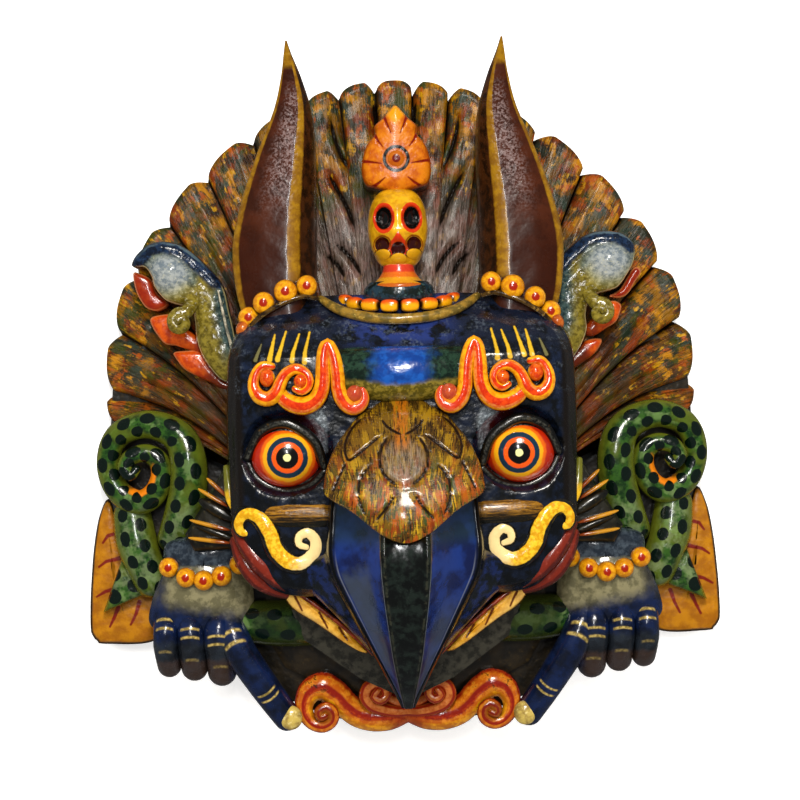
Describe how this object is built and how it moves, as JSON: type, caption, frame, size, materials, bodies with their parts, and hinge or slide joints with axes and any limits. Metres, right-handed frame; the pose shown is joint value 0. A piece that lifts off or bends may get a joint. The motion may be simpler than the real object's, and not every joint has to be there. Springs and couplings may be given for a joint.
{
  "type": "garuda mask",
  "caption": "Carved and painted wooden wall mask of a horned bird deity with beak, feather halo, coiled snakes and hands, hollow at the back.",
  "frame": {"origin": "middle of the flat back, on the surface that the mask lies on", "axes": "+Z out of the face, +Y towards the horns and crest, +X to the right of someone who looks at the face"},
  "size_m": [0.422, 0.45, 0.1685],
  "materials": {
    "painted_wood": "hand-painted in many colours under a glossy lacquer"
  },
  "bodies": {
    "root": {"mask": "painted_wood"}
  },
  "joints": []
}
